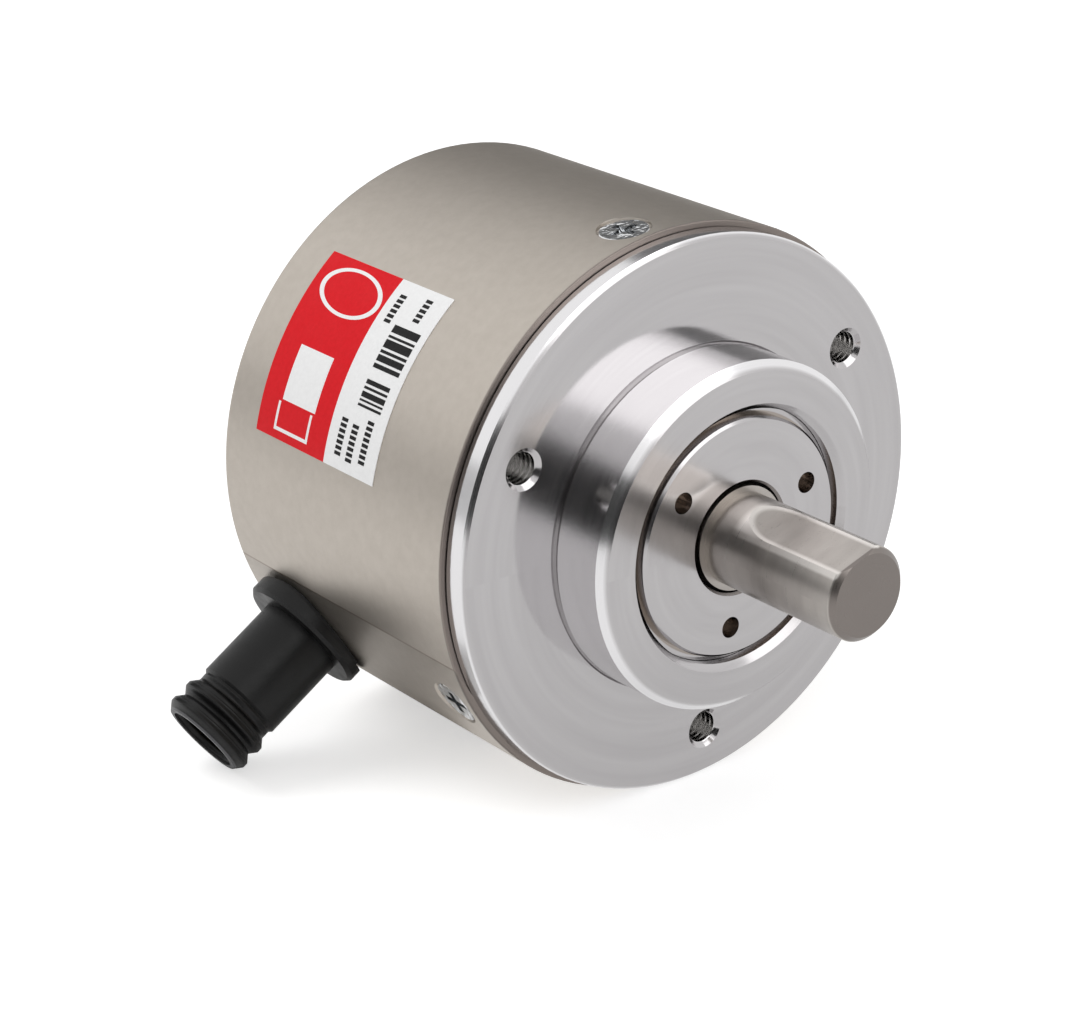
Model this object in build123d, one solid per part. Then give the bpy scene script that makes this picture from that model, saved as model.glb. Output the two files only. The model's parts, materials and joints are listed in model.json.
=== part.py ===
from build123d import *
import os
from math import cos, radians, sin, sqrt

os.makedirs("parts", exist_ok=True)

# Incremental rotary encoder of the 58 mm clamping-flange kind, lying on its side.
# Millimetres. The origin is on the shaft axis in the plane of the mounting face,
# +X points out along the shaft, +Z is up, and angles run from +Y towards +Z.

# Flange: rim, centring collar, web, spigot under the cover and bearing hub
FLANGE_R = 29.0
RIM_DEPTH = 2.5
RIM_CHAMFER = 0.4
COLLAR_R = 18.0
COLLAR_LENGTH = 7.1
COLLAR_CHAMFER = 0.9
COLLAR_MOUTH_CHAMFER = 0.65
RELIEF_WIDTH = 0.5
RELIEF_DEPTH = 0.2
WEB_DEPTH = 9.0
SPIGOT_DEPTH = 12.5
SPIGOT_WALL = 2.2
HUB_WALL = 2.5
HUB_LIP = 1.6
HUB_LIP_STEP = 1.5

# Tapped holes in the mounting face
FACE_HOLE_COUNT = 3
FACE_HOLE_INSET = 5.0
FACE_HOLE_ANGLE = 34.5
FACE_HOLE_R = 1.65
FACE_HOLE_DEPTH = 6.5
FACE_SINK_R = 2.15
DRILL_POINT = 0.6

# Shaft with its shoulder, milled flat and stepped rear end
SHAFT_R = 5.0
SHAFT_END_R = 4.7625
SHAFT_OUT = 24.5
SHAFT_CHAMFER = 0.6
SHOULDER_STEP = 0.4
SHOULDER_PROUD = 0.05
FLAT_ANGLE = 108.5
FLAT_FROM_SEAM = 67.5
FLAT_DEPTH = 0.73
FLAT_LENGTH = 10.1
FLAT_CUTTER_R = 12.5
TAIL_R = 4.0
TAIL_BEHIND_HUB = 0.4

# Ball bearings, both of the 10 x 26 x 8 size, and the sleeves between them
BEARING_R = 13.0
BEARING_WIDTH = 8.0
BALL_R = 2.38
BALL_COUNT = 7
RACE_GAP = 0.08
LAND_OFFSET = 1.8
RING_CHAMFER = 0.3
CAGE_HALF_WALL = 0.7
CAGE_OPEN_SIDE = 1.2
CAGE_CLOSED_SIDE = 3.1
CAGE_GAP = 0.12
SHIELD_THICKNESS = 0.25
SHIELD_INSET = 0.1
SHIELD_GAP = 0.3
SPACER_LENGTH = 8.0
SPACER_WALL = 1.6
PRELOAD_HEIGHT = 0.6
PRELOAD_THICKNESS = 0.3
PRELOAD_WIDTH = 1.3
FIT_GAP = 0.03

# Screwed retainer in the collar mouth, with spanner holes and a shaft seal
RETAINER_FACE = 6.7
RETAINER_THICKNESS = 3.5
THREAD_DEPTH = 0.15
RETAINER_STEP = 0.75
RETAINER_STEP_DEPTH = 1.3
RETAINER_CHAMFER = 0.25
RETAINER_GAP = 0.05
SHAFT_CLEARANCE = 0.34
SPANNER_HOLE_COUNT = 3
SPANNER_HOLE_R = 1.1
SPANNER_HOLE_DEPTH = 2.4
SPANNER_CIRCLE_R = 9.35
SPANNER_ANGLE = 23.7
SEAL_R = 7.9
SEAL_WIDTH = 2.1
SEAL_REAR_GAP = 0.3
SEAL_CASE = 0.5
LIP_GAP = 0.05
LIP_WIDTH = 0.5
LIP_THICKNESS = 0.45

# Shaft retaining ring behind the rear bearing
CIRCLIP_THICKNESS = 1.0
CIRCLIP_GROOVE_DEPTH = 0.4
CIRCLIP_WIDTH = 1.9
CIRCLIP_OPENING = 2.6

# Cover cup with its screws and sealing ring
COVER_STEP = 0.65
COVER_WALL = 1.2
COVER_BACK_WALL = 1.4
COVER_BACK = 40.3
COVER_SEAM = 0.15
COVER_EDGE_R = 0.5
COVER_LIP_R = 0.15
COVER_FIT_GAP = 0.1
SCREW_ANGLES = (98.7, 211.0, 335.0)
SCREW_BEHIND_FACE = 6.3
SCREW_HEAD_R = 2.65
SCREW_HEAD_INSET = 0.2
SCREW_HEAD_GAP = 0.1
SCREW_HEAD_EDGE = 0.2
SCREW_R = 1.5
SCREW_LENGTH = 5.0
SCREW_GAP = 0.04
CROSS_SLOT = 0.7
CROSS_SPAN = 3.0
CROSS_DEPTH = 1.0
O_RING_R = 0.68
O_RING_BEHIND_FACE = 10.4
O_RING_GAP = 0.03
O_RING_SIDE_GAP = 0.25

# Round moulded connector on the side of the cover
CONNECTOR_ANGLE = 213.3
CONNECTOR_BEHIND_FACE = 32.4
PLATE_R = 7.05
PLATE_HEIGHT = 1.7
PLATE_EDGE = 0.4
BARREL_R = 4.74
BARREL_LENGTH = 9.55
BARREL_EDGE = 0.3
NECK_R = 4.45
NECK_LENGTH = 1.0
THREAD_CREST_R = 5.1
THREAD_ROOT_R = 4.45
THREAD_PITCH = 2.15
THREAD_RIDGES = 2
THREAD_CREST_WIDTH = 0.5
CUP_R = 3.9
CUP_FLOOR_RISE = 0.35
STUB_R = 4.2
STUB_REACH = 4.3
STUB_BORE_R = 2.9
STUB_HOLE_GAP = 0.15
GASKET_R = 6.3
GASKET_THICKNESS = 0.5
NUT_CORNER_R = 5.9
NUT_THICKNESS = 2.2
NUT_SEAT_GAP = 0.05
HEX_SIDES = 6
INSERT_BELOW_TIP = 6.7
INSERT_GAP = 0.05
KEY_WIDTH = 0.9
KEY_DEPTH = 0.5
PIN_COUNT = 5
PIN_ANGLE = 45.0
PIN_R = 0.5
PIN_END_R = 0.25
PIN_CIRCLE_R = 2.1
PIN_BELOW_TIP = 1.8
PIN_TAIL_REACH = 0.4
PIN_GAP = 0.03

# Code disc, its hub and clamp ring
HUB_BEHIND_FLANGE = 1.0
DISC_HUB_R = 7.5
DISC_HUB_LENGTH = 3.5
DISC_EDGE = 0.4
DISC_THICKNESS = 0.5
DISC_SEAT_R = 5.5
CLAMP_THICKNESS = 0.9
SLOT_COUNT = 60
SLOT_HALF_LENGTH = 0.8
INDEX_STEP = 1.0
INDEX_LENGTH = 1.4
CLAMP_SCREW_COUNT = 3
CLAMP_SCREW_ANGLE = 30.0
CLAMP_SCREW_CIRCLE_R = 6.5
CLAMP_SCREW_R = 0.5
CLAMP_SCREW_LENGTH = 2.4
CLAMP_SCREW_HEAD_R = 0.8
CLAMP_SCREW_HEAD = 0.5
GRUB_COUNT = 2
GRUB_R = 1.0
GRUB_GAP = 0.02

# Circuit board, its posts and screws
BOARD_FRONT = -31.5
BOARD_THICKNESS = 1.6
BOARD_INSET = 2.1
BOARD_NOTCH_WIDTH = 14.0
BOARD_NOTCH_DEPTH = 5.9
POST_COUNT = 3
POST_ANGLE = 66.0
POST_GAP = 0.1
POST_CORNER_R = 1.7
POST_STUD_R = 1.25
POST_STUD_LENGTH = 4.5
POST_BORE_DEPTH = 5.0
BOARD_SCREW_R = 1.0
BOARD_SCREW_LENGTH = 4.0
BOARD_SCREW_HEAD_R = 1.9
BOARD_SCREW_HEAD = 1.4
BOARD_HOLE_R = 1.2

# Optics: lamp side on the flange web, receiver side on the board
OPTICS_ANGLE = 126.0
LAMP_FOOT = (2.0, 4.4, 17.0)
LAMP_COLUMN = (4.4, 7.6)
LAMP_COLUMN_EDGE_R = 1.0
LAMP_HUB_GAP = 0.4
LAMP_DISC_GAP = 1.2
LAMP_R_SHIFT = 0.4
LAMP_BORE_R = 1.6
LAMP_BORE_DEPTH = 5.2
LED_R = 1.5
LED_BODY = 2.2
LENS_THICKNESS = 1.2
LENS_BULGE_R = 3.4
LAMP_SCREW_SPREAD = 6.4
LAMP_SCREW_R = 1.0
LAMP_SCREW_DEPTH = 4.5
LAMP_SCREW_HEAD_R = 1.8
LAMP_SCREW_HEAD = 1.2
CARRIER = (1.0, 8.4, 9.0)
SENSOR = (1.2, 5.6, 6.6)
RETICLE = (0.6, 4.2, 5.2)

# Parts on the rear of the board
HEADER = (4.0, 5.0, 12.0)
HEADER_INSET = 4.5
HEADER_PITCH = 2.0
HEADER_MOUTH = (1.25, 1.2, 1.4)
WIRE_R = 0.38
WIRE_ENTRY = 0.2
DRIVER = (1.5, 3.9, 9.9)
DRIVER_SPOTS = ((-6.0, 5.5), (0.5, 5.5))
DRIVER_LEAD = (0.25, 6.0, 0.45)
DRIVER_LEAD_COUNT = 8
DRIVER_LEAD_PITCH = 1.27
CAPACITOR_R = 2.5
CAPACITOR_HEIGHT = 4.2
CAPACITOR_SPOTS = ((11.0, -12.5), (16.2, -9.0))
CHIP = (0.8, 1.3, 2.4)
CHIP_SPOTS = ((6.5, 1.5), (9.0, 1.5), (6.5, 7.5), (9.0, 7.5), (-11.5, 4.0), (-9.5, 12.0))

# Places worked out from the sizes above
PITCH_R = (SHAFT_R + BEARING_R) / 2
OUTER_LAND_R = PITCH_R + LAND_OFFSET
INNER_LAND_R = PITCH_R - LAND_OFFSET
SHOULDER_R = SHAFT_R + SHOULDER_STEP
STACK_FRONT = RETAINER_FACE - RETAINER_THICKNESS
FRONT_BEARING_X = STACK_FRONT - BEARING_WIDTH / 2
FRONT_BEARING_BACK = STACK_FRONT - BEARING_WIDTH
REAR_BEARING_FRONT = FRONT_BEARING_BACK - SPACER_LENGTH
REAR_BEARING_X = REAR_BEARING_FRONT - BEARING_WIDTH / 2
STACK_BACK = REAR_BEARING_FRONT - BEARING_WIDTH
HUB_LIP_FRONT = STACK_BACK - PRELOAD_HEIGHT
HUB_BACK = HUB_LIP_FRONT - HUB_LIP
HUB_R = BEARING_R + HUB_WALL
THREAD_BORE_R = BEARING_R + THREAD_DEPTH
RETAINER_R = THREAD_BORE_R - RETAINER_GAP
FACE_HOLE_CIRCLE_R = FLANGE_R - FACE_HOLE_INSET
COVER_R = FLANGE_R + COVER_STEP
COVER_INNER_R = COVER_R - COVER_WALL
COVER_FRONT = -RIM_DEPTH - COVER_SEAM
SPIGOT_R = COVER_INNER_R - COVER_FIT_GAP
SPIGOT_INNER_R = SPIGOT_R - SPIGOT_WALL
DISC_HUB_FRONT = HUB_BACK - HUB_BEHIND_FLANGE
DISC_FRONT = DISC_HUB_FRONT - DISC_HUB_LENGTH
DISC_BACK = DISC_FRONT - DISC_THICKNESS
CLAMP_BACK = DISC_BACK - CLAMP_THICKNESS
TAIL_END = CLAMP_BACK - TAIL_BEHIND_HUB
TAIL_FRONT = HUB_BACK
BOARD_BACK = BOARD_FRONT - BOARD_THICKNESS
BOARD_R = COVER_INNER_R - BOARD_INSET
POST_CIRCLE_R = SPIGOT_INNER_R - POST_CORNER_R - POST_GAP
HEAD_TOP_R = COVER_R - SCREW_HEAD_INSET
GASKET_OUTER_R = COVER_R + GASKET_THICKNESS
PLATE_TOP = COVER_R + PLATE_HEIGHT
BARREL_TOP = PLATE_TOP + BARREL_LENGTH
THREAD_START = BARREL_TOP + NECK_LENGTH
CONNECTOR_TIP = THREAD_START + THREAD_RIDGES * THREAD_PITCH
CUP_FLOOR = GASKET_OUTER_R + CUP_FLOOR_RISE
STUB_INNER = COVER_R - STUB_REACH
INSERT_TOP = CONNECTOR_TIP - INSERT_BELOW_TIP
PIN_TOP = CONNECTOR_TIP - PIN_BELOW_TIP
PIN_TAIL = STUB_INNER - PIN_TAIL_REACH
BOARD_NOTCH_FLOOR = STUB_INNER - BOARD_NOTCH_DEPTH
HEADER_R = BOARD_NOTCH_FLOOR - HEADER_INSET
LAMP_BACK = DISC_FRONT + LAMP_DISC_GAP
LAMP_CENTRE_R = HUB_R + LAMP_HUB_GAP + LAMP_FOOT[1] / 2
OPTICS_R = LAMP_CENTRE_R - LAMP_R_SHIFT
SLOT_INNER_R = OPTICS_R - SLOT_HALF_LENGTH
SLOT_OUTER_R = OPTICS_R + SLOT_HALF_LENGTH
INDEX_OUTER_R = SLOT_INNER_R - INDEX_STEP
INDEX_INNER_R = INDEX_OUTER_R - INDEX_LENGTH
DISC_R = SLOT_OUTER_R + DISC_EDGE
CUT = 1.0


def turned(points):
    """Solid of revolution about the shaft axis from (x, radius) points."""
    return revolve(make_face(Polyline(*points, close=True)), Axis.X)


def rod(back, front, radius):
    return turned([(back, 0), (front, 0), (front, radius), (back, radius)])


def tube(back, front, bore, radius):
    return turned([(back, bore), (front, bore), (front, radius), (back, radius)])


def chamfered_tube(back, front, bore, radius, chamfer):
    """Sleeve with broken outer edges."""
    points = [(back, bore), (front, bore), (front, radius - chamfer)]
    points += [(front - chamfer, radius), (back + chamfer, radius), (back, radius - chamfer)]
    return turned(points)


def around(angle, radius=0.0, x=0.0):
    """Frame at an angle about the shaft: local X axial, Y radial, Z tangential."""
    turn = radians(angle)
    origin = (x, radius * cos(turn), radius * sin(turn))
    return Plane(origin=origin, x_dir=(1, 0, 0), z_dir=(0, -sin(turn), cos(turn))).location


def outward(angle, x):
    """Frame whose local X points radially outwards at an angle and local Z along the shaft."""
    turn = radians(angle)
    return Plane(origin=(x, 0, 0), x_dir=(0, cos(turn), sin(turn)), z_dir=(1, 0, 0)).location


def ring_of(count, first_angle):
    return [first_angle + step * 360 / count for step in range(count)]


def hex_prism(back, front, corner_r):
    return extrude(Plane.YZ.offset(back) * RegularPolygon(corner_r, HEX_SIDES), front - back)


def seat_cutter():
    """Countersunk clearance hole for a cover screw, along local X from the shaft axis."""
    head_r = SCREW_HEAD_R + SCREW_HEAD_GAP
    shank_r = SCREW_R + SCREW_GAP
    cone_top = HEAD_TOP_R - SCREW_HEAD_EDGE
    cone_foot = cone_top - (head_r - shank_r)
    foot = HEAD_TOP_R - SCREW_LENGTH - DRILL_POINT
    points = [(foot, 0), (COVER_R + CUT, 0), (COVER_R + CUT, head_r), (cone_top, head_r)]
    return turned(points + [(cone_foot, shank_r), (foot, shank_r)])


def each_screw_seat():
    return [outward(angle, -SCREW_BEHIND_FACE) * seat_cutter() for angle in SCREW_ANGLES]


def face_hole():
    """Tapped blind hole with a countersunk mouth, along -X from the mounting face."""
    sink = FACE_SINK_R - FACE_HOLE_R
    points = [(CUT, 0), (CUT, FACE_SINK_R + CUT), (-sink, FACE_HOLE_R)]
    points += [(-FACE_HOLE_DEPTH, FACE_HOLE_R), (-FACE_HOLE_DEPTH - DRILL_POINT, 0)]
    return turned(points)


def flange():
    """Aluminium flange with collar, web, spigot and rear bearing hub."""
    mouth_r = THREAD_BORE_R + COLLAR_MOUTH_CHAMFER
    relief_r = COLLAR_R - RELIEF_DEPTH
    groove_r = SPIGOT_R - 2 * O_RING_R
    groove_half = O_RING_R + O_RING_SIDE_GAP
    body = turned([
        (COLLAR_LENGTH, mouth_r),
        (COLLAR_LENGTH, COLLAR_R - COLLAR_CHAMFER),
        (COLLAR_LENGTH - COLLAR_CHAMFER, COLLAR_R),
        (RELIEF_WIDTH, COLLAR_R),
        (RELIEF_WIDTH - RELIEF_DEPTH, relief_r),
        (-RELIEF_DEPTH, relief_r),
        (-RELIEF_DEPTH, COLLAR_R),
        (0, COLLAR_R + RELIEF_DEPTH),
        (0, FLANGE_R - RIM_CHAMFER),
        (-RIM_CHAMFER, FLANGE_R),
        (-RIM_DEPTH, FLANGE_R),
        (-RIM_DEPTH, SPIGOT_R),
        (-O_RING_BEHIND_FACE + groove_half, SPIGOT_R),
        (-O_RING_BEHIND_FACE + groove_half, groove_r),
        (-O_RING_BEHIND_FACE - groove_half, groove_r),
        (-O_RING_BEHIND_FACE - groove_half, SPIGOT_R),
        (-SPIGOT_DEPTH, SPIGOT_R),
        (-SPIGOT_DEPTH, SPIGOT_INNER_R),
        (-WEB_DEPTH, SPIGOT_INNER_R),
        (-WEB_DEPTH, HUB_R),
        (HUB_BACK + RING_CHAMFER, HUB_R),
        (HUB_BACK, HUB_R - RING_CHAMFER),
        (HUB_BACK, BEARING_R - HUB_LIP_STEP),
        (HUB_LIP_FRONT, BEARING_R - HUB_LIP_STEP),
        (HUB_LIP_FRONT, BEARING_R + FIT_GAP),
        (STACK_FRONT, BEARING_R + FIT_GAP),
        (STACK_FRONT, THREAD_BORE_R),
        (COLLAR_LENGTH - COLLAR_MOUTH_CHAMFER, THREAD_BORE_R),
    ])
    for angle in ring_of(FACE_HOLE_COUNT, FACE_HOLE_ANGLE):
        body -= around(angle, FACE_HOLE_CIRCLE_R) * face_hole()
    for angle in ring_of(POST_COUNT, POST_ANGLE):
        stud_end = -WEB_DEPTH + POST_STUD_LENGTH + DRILL_POINT
        body -= around(angle, POST_CIRCLE_R) * rod(-WEB_DEPTH - CUT, stud_end, POST_STUD_R + SCREW_GAP)
    for side in (-1, 1):
        place = around(OPTICS_ANGLE, LAMP_CENTRE_R) * Pos(0, 0, side * LAMP_SCREW_SPREAD)
        tap_end = -WEB_DEPTH + LAMP_SCREW_DEPTH
        body -= place * rod(-WEB_DEPTH - CUT, tap_end, LAMP_SCREW_R + SCREW_GAP)
    for seat in each_screw_seat():
        body -= seat
    return body


def bearing_retainer():
    """Screwed ring in the collar mouth, with three spanner holes."""
    step_r = RETAINER_R - RETAINER_STEP
    step_x = RETAINER_FACE - RETAINER_STEP_DEPTH
    hole_r = SHOULDER_R + SHAFT_CLEARANCE
    pocket_r = SEAL_R + FIT_GAP
    pocket_x = STACK_FRONT + SEAL_REAR_GAP + SEAL_WIDTH
    body = turned([
        (STACK_FRONT, pocket_r),
        (STACK_FRONT, RETAINER_R),
        (step_x, RETAINER_R),
        (step_x, step_r),
        (RETAINER_FACE - RETAINER_CHAMFER, step_r),
        (RETAINER_FACE, step_r - RETAINER_CHAMFER),
        (RETAINER_FACE, hole_r + RETAINER_CHAMFER),
        (RETAINER_FACE - RETAINER_CHAMFER, hole_r),
        (pocket_x, hole_r),
        (pocket_x, pocket_r),
    ])
    floor = RETAINER_FACE - SPANNER_HOLE_DEPTH
    for angle in ring_of(SPANNER_HOLE_COUNT, SPANNER_ANGLE):
        body -= around(angle, SPANNER_CIRCLE_R) * rod(floor, RETAINER_FACE + CUT, SPANNER_HOLE_R)
    return body


def shaft_seal():
    """Rubber radial seal: a cup section with a lip towards the shoulder of the shaft."""
    back = STACK_FRONT + SEAL_REAR_GAP
    front = back + SEAL_WIDTH
    lip_r = SHOULDER_R + LIP_GAP
    case_r = SEAL_R - SEAL_CASE
    return turned([
        (back, case_r),
        (back, SEAL_R),
        (front, SEAL_R),
        (front, lip_r + LIP_THICKNESS),
        (front - LIP_WIDTH, lip_r),
        (back + LIP_WIDTH, lip_r),
        (back + LIP_WIDTH, lip_r + LIP_THICKNESS),
        (front - SEAL_CASE, lip_r + LIP_THICKNESS + LIP_WIDTH),
        (front - SEAL_CASE, case_r),
    ])


def race_groove(x):
    groove = Pos(x, 0, 0) * Rot(0, 90, 0) * Torus(PITCH_R, BALL_R + RACE_GAP)
    return groove


def bearing_outer_ring(x):
    half = BEARING_WIDTH / 2
    ring = chamfered_tube(x - half, x + half, OUTER_LAND_R, BEARING_R, RING_CHAMFER)
    return ring - race_groove(x)


def bearing_inner_ring(x):
    half = BEARING_WIDTH / 2
    return tube(x - half, x + half, SHAFT_R, INNER_LAND_R) - race_groove(x)


def bearing_balls(x):
    return [around(angle, PITCH_R, x) * Sphere(BALL_R) for angle in ring_of(BALL_COUNT, 0)]


def bearing_cage(x):
    """Crown cage: a ring with open pockets for the balls."""
    back = x - CAGE_OPEN_SIDE
    cage = tube(back, x + CAGE_CLOSED_SIDE, PITCH_R - CAGE_HALF_WALL, PITCH_R + CAGE_HALF_WALL)
    for angle in ring_of(BALL_COUNT, 0):
        cage -= around(angle, PITCH_R, x) * Sphere(BALL_R + CAGE_GAP)
    return cage


def bearing_shields(x):
    """Pair of thin rings that close the bearing, held in the outer ring."""
    outer_face = BEARING_WIDTH / 2 - SHIELD_INSET
    bore = INNER_LAND_R + SHIELD_GAP
    shields = []
    for side in (-1, 1):
        near, far = sorted((side * outer_face, side * (outer_face - SHIELD_THICKNESS)))
        shields.append(tube(x + near, x + far, bore, OUTER_LAND_R))
    return shields


def outer_spacer():
    return tube(REAR_BEARING_FRONT, FRONT_BEARING_BACK, BEARING_R - SPACER_WALL, BEARING_R)


def inner_spacer():
    return tube(REAR_BEARING_FRONT, FRONT_BEARING_BACK, SHAFT_R, SHAFT_R + SPACER_WALL)


def preload_washer():
    """Conical spring washer between the rear bearing and the lip of the hub."""
    inner = BEARING_R - PRELOAD_WIDTH
    return turned([
        (HUB_LIP_FRONT, BEARING_R - FIT_GAP),
        (HUB_LIP_FRONT + PRELOAD_THICKNESS, BEARING_R - FIT_GAP),
        (STACK_BACK, inner),
        (STACK_BACK - PRELOAD_THICKNESS, inner),
    ])


def shaft():
    """Steel shaft with a shoulder at the seal, a milled flat and a stepped tail."""
    shoulder_front = RETAINER_FACE + SHOULDER_PROUD
    groove_back = STACK_BACK - CIRCLIP_THICKNESS
    groove_r = SHAFT_R - CIRCLIP_GROOVE_DEPTH
    body = turned([
        (SHAFT_OUT, 0),
        (SHAFT_OUT, SHAFT_END_R - SHAFT_CHAMFER),
        (SHAFT_OUT - SHAFT_CHAMFER, SHAFT_END_R),
        (shoulder_front, SHAFT_END_R),
        (shoulder_front, SHOULDER_R),
        (STACK_FRONT, SHOULDER_R),
        (STACK_FRONT, SHAFT_R),
        (STACK_BACK, SHAFT_R),
        (STACK_BACK, groove_r),
        (groove_back, groove_r),
        (groove_back, SHAFT_R),
        (TAIL_FRONT, SHAFT_R),
        (TAIL_FRONT, TAIL_R),
        (TAIL_END, TAIL_R),
        (TAIL_END, 0),
    ])
    floor_r = SHAFT_END_R - FLAT_DEPTH
    flat_back = SHAFT_OUT - FLAT_LENGTH
    slab = Pos(flat_back, floor_r, 0) * Rectangle(FLAT_LENGTH + CUT, 2 * FLAT_CUTTER_R, align=Align.MIN)
    wheel = Pos(flat_back, floor_r + FLAT_CUTTER_R, 0) * Circle(FLAT_CUTTER_R)
    body -= Rot(FLAT_FROM_SEAM, 0, 0) * extrude(slab + wheel, SHAFT_R, both=True)
    return around(FLAT_ANGLE - FLAT_FROM_SEAM) * body


def shaft_circlip():
    """Open retaining ring in the groove behind the rear bearing."""
    back = STACK_BACK - CIRCLIP_THICKNESS
    bore = SHAFT_R - CIRCLIP_GROOVE_DEPTH
    ring = tube(back, STACK_BACK, bore, bore + CIRCLIP_WIDTH)
    reach = bore + CIRCLIP_WIDTH + CUT
    gap = Pos(back - CUT, 0, -CIRCLIP_OPENING / 2) * Box(
        CIRCLIP_THICKNESS + 2 * CUT, reach, CIRCLIP_OPENING, align=Align.MIN)
    return ring - gap


def cover():
    """Drawn cup over the rear, with countersunk screw holes and a connector hole."""
    cup = turned([
        (-COVER_BACK, 0),
        (-COVER_BACK, COVER_R),
        (COVER_FRONT, COVER_R),
        (COVER_FRONT, COVER_INNER_R),
        (-COVER_BACK + COVER_BACK_WALL, COVER_INNER_R),
        (-COVER_BACK + COVER_BACK_WALL, 0),
    ])
    rear_edge = cup.edges().group_by(Axis.X)[0]
    cup = fillet(rear_edge.filter_by(GeomType.CIRCLE), COVER_EDGE_R)
    lip = max(cup.edges().group_by(Axis.X)[-1].filter_by(GeomType.CIRCLE), key=lambda edge: edge.radius)
    cup = fillet(lip, COVER_LIP_R)
    for seat in each_screw_seat():
        cup -= seat
    hole = rod(STUB_INNER, COVER_R + CUT, STUB_R + STUB_HOLE_GAP)
    return cup - outward(CONNECTOR_ANGLE, -CONNECTOR_BEHIND_FACE) * hole


def cover_o_ring():
    centre_r = SPIGOT_R - O_RING_R + O_RING_GAP
    return Pos(-O_RING_BEHIND_FACE, 0, 0) * Rot(0, 90, 0) * Torus(centre_r, O_RING_R)


def cover_screw():
    """Countersunk cross-recess screw, along local X from the shaft axis."""
    cone_top = HEAD_TOP_R - SCREW_HEAD_EDGE
    cone_foot = cone_top - (SCREW_HEAD_R - SCREW_R)
    tip = HEAD_TOP_R - SCREW_LENGTH
    body = turned([
        (tip, 0),
        (HEAD_TOP_R, 0),
        (HEAD_TOP_R, SCREW_HEAD_R - SCREW_HEAD_EDGE),
        (cone_top, SCREW_HEAD_R),
        (cone_foot, SCREW_R),
        (tip, SCREW_R),
    ])
    bar = Box(2 * CROSS_DEPTH, CROSS_SPAN, CROSS_SLOT)
    recess = bar + Rot(90, 0, 0) * bar
    return body - Pos(HEAD_TOP_R, 0, 0) * recess


def cover_screws():
    return [outward(angle, -SCREW_BEHIND_FACE) * cover_screw() for angle in SCREW_ANGLES]


def connector_frame():
    return outward(CONNECTOR_ANGLE, -CONNECTOR_BEHIND_FACE)


def connector_shell():
    """Moulded shell: saddle plate, barrel, neck, coarse threaded end and a deep cup."""
    ridges = []
    flank = (THREAD_PITCH - THREAD_CREST_WIDTH) / 2
    for ridge in range(THREAD_RIDGES):
        foot = THREAD_START + ridge * THREAD_PITCH
        ridges += [(foot, THREAD_ROOT_R), (foot + flank, THREAD_CREST_R)]
        ridges += [(foot + flank + THREAD_CREST_WIDTH, THREAD_CREST_R)]
    outer = turned([
        (STUB_INNER, 0),
        (STUB_INNER, PLATE_R),
        (PLATE_TOP - PLATE_EDGE, PLATE_R),
        (PLATE_TOP, PLATE_R - PLATE_EDGE),
        (PLATE_TOP, BARREL_R),
        (BARREL_TOP - BARREL_EDGE, BARREL_R),
        (BARREL_TOP, BARREL_R - BARREL_EDGE),
        (THREAD_START - NECK_LENGTH, NECK_R),
        *ridges,
        (CONNECTOR_TIP, THREAD_ROOT_R),
        (CONNECTOR_TIP, 0),
    ])
    body = connector_frame() * outer - rod(-COVER_BACK - CUT, 0, GASKET_OUTER_R)
    body += connector_frame() * rod(STUB_INNER, PLATE_TOP, STUB_R)
    body -= connector_frame() * rod(CUP_FLOOR, CONNECTOR_TIP + CUT, CUP_R)
    return body - connector_frame() * rod(STUB_INNER - CUT, CUP_FLOOR + CUT, STUB_BORE_R)


def connector_gasket():
    """Rubber saddle ring between the connector plate and the cover."""
    blank = connector_frame() * tube(STUB_INNER, PLATE_TOP, STUB_R + STUB_HOLE_GAP, GASKET_R)
    return blank & tube(-COVER_BACK, 0, COVER_R, GASKET_OUTER_R)


def connector_nut():
    """Hexagonal nut on the stub, against the inside of the cover."""
    seat = sqrt(COVER_INNER_R ** 2 - NUT_CORNER_R ** 2) - NUT_SEAT_GAP
    blank = hex_prism(seat - NUT_THICKNESS, seat, NUT_CORNER_R)
    bore = rod(STUB_INNER - CUT, PLATE_TOP, STUB_R + FIT_GAP)
    return connector_frame() * (blank - bore)


def pin_places():
    """Local (y, z) places of the contacts: one in the middle and the rest around it."""
    places = [(0.0, 0.0)]
    for angle in ring_of(PIN_COUNT - 1, PIN_ANGLE):
        turn = radians(angle)
        places.append((PIN_CIRCLE_R * cos(turn), PIN_CIRCLE_R * sin(turn)))
    return places


def connector_insert():
    """Contact carrier in the cup, with a keyway and holes for the contacts."""
    body = rod(CUP_FLOOR, INSERT_TOP, CUP_R - INSERT_GAP)
    for y, z in pin_places():
        body -= Pos(0, y, z) * rod(CUP_FLOOR - CUT, INSERT_TOP + CUT, PIN_R + PIN_GAP)
    key_length = INSERT_TOP - CUP_FLOOR + 2 * CUT
    key = Pos(CUP_FLOOR - CUT, CUP_R - KEY_DEPTH, -KEY_WIDTH / 2) * Box(
        key_length, CUP_R, KEY_WIDTH, align=Align.MIN)
    return connector_frame() * (body - key)


def connector_pins():
    contact = fillet(rod(PIN_TAIL, PIN_TOP, PIN_R).edges().group_by(Axis.X)[-1], PIN_END_R)
    return [connector_frame() * Pos(0, y, z) * contact for y, z in pin_places()]


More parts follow.
